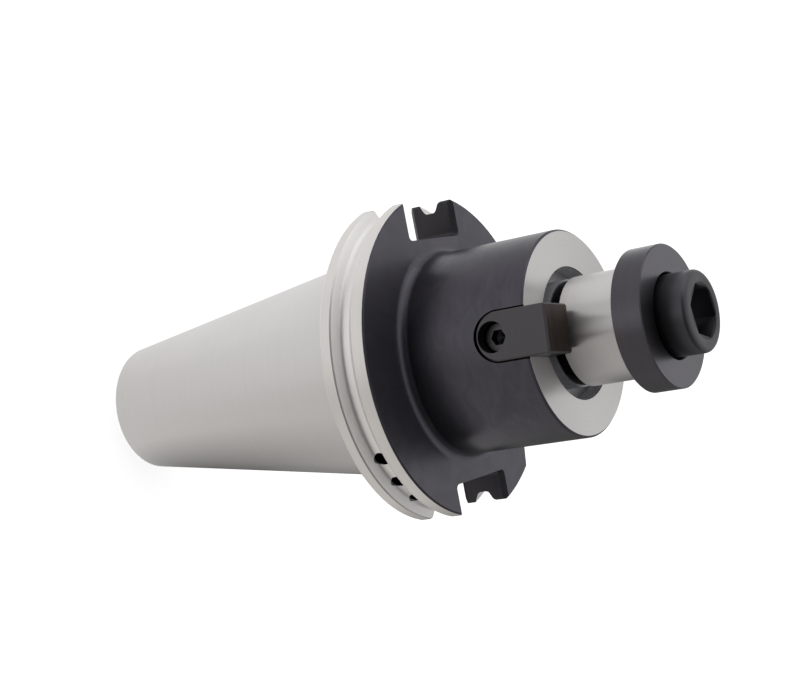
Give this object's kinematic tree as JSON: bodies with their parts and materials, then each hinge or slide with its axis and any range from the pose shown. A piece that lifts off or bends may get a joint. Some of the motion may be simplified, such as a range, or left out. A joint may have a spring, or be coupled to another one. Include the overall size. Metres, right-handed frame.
{
  "type": "shell mill arbor",
  "caption": "Steep-taper arbor for shell mills, with flange and gripper groove, driving keys, cutter pilot and a clamp screw with washer.",
  "frame": {"origin": "centre of the taper's gauge plane, on the spindle axis", "axes": "+Z along the spindle axis towards the cutter end, +X through the middle of the shallow drive slot"},
  "size_m": [0.0938, 0.0974, 0.202],
  "materials": {
    "arbor_steel": "case-hardened steel, ground bright on taper, flange rim, shoulder and pilot, blackened elsewhere",
    "key_steel": "blackened, satin",
    "washer_steel": "blackened, fairly glossy",
    "screw_steel": "blackened, satin"
  },
  "bodies": {
    "arbor": {"arbor_body": "arbor_steel", "drive_key_1": "key_steel", "drive_key_2": "key_steel", "key_screw_1": "screw_steel", "key_screw_2": "screw_steel"},
    "clamp_washer": {"clamp_washer": "washer_steel"},
    "clamp_screw": {"clamp_screw": "screw_steel"}
  },
  "joints": [
    {"name": "clamp_travel", "type": "slide", "parent": "arbor", "child": "clamp_washer", "axis": [0, 0, 1], "range_m": [0, 0.0325]},
    {"name": "clamp_turn", "type": "hinge", "parent": "clamp_washer", "child": "clamp_screw", "pos_m": [0, 0, 0.0842], "axis": [0, 0, 1], "range_deg": [0, 5870]}
  ],
  "couplings": [
    {"joint": "clamp_turn", "follows": "clamp_travel", "rad_per_m": 3141.6}
  ]
}
